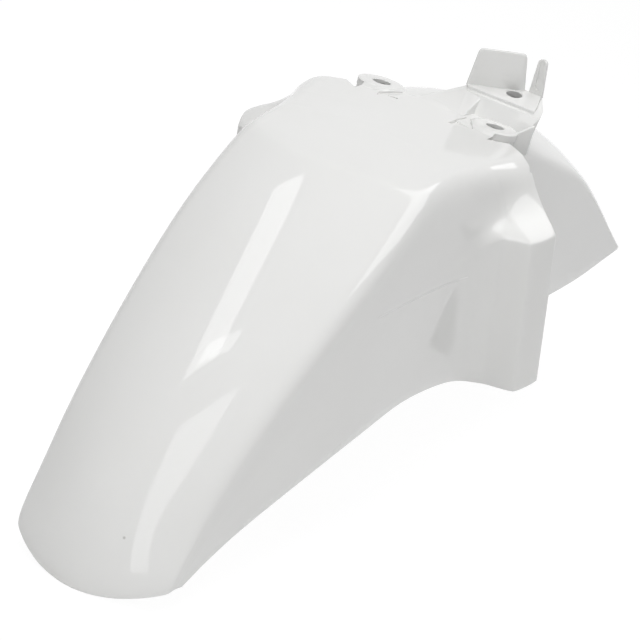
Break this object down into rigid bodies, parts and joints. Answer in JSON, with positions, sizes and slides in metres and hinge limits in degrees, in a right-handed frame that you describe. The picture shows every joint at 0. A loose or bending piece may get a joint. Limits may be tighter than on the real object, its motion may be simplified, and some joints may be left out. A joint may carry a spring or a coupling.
{
  "type": "scooter mudguard",
  "caption": "Moulded front wheel mudguard for a scooter, with fork shields, a tilted screw seat and an upright hose guide.",
  "frame": {"origin": "midway between the two front screw holes, on the upper face of their pads", "axes": "+X across to the side that carries the guide bracket, the tongue tip towards -Y, +Z square to the screw seat, away from the wheel"},
  "size_m": [0.239, 0.7078, 0.3079],
  "materials": {
    "mudguard": "high gloss, moulded in white"
  },
  "bodies": {
    "root": {"mudguard": "mudguard"}
  },
  "joints": []
}
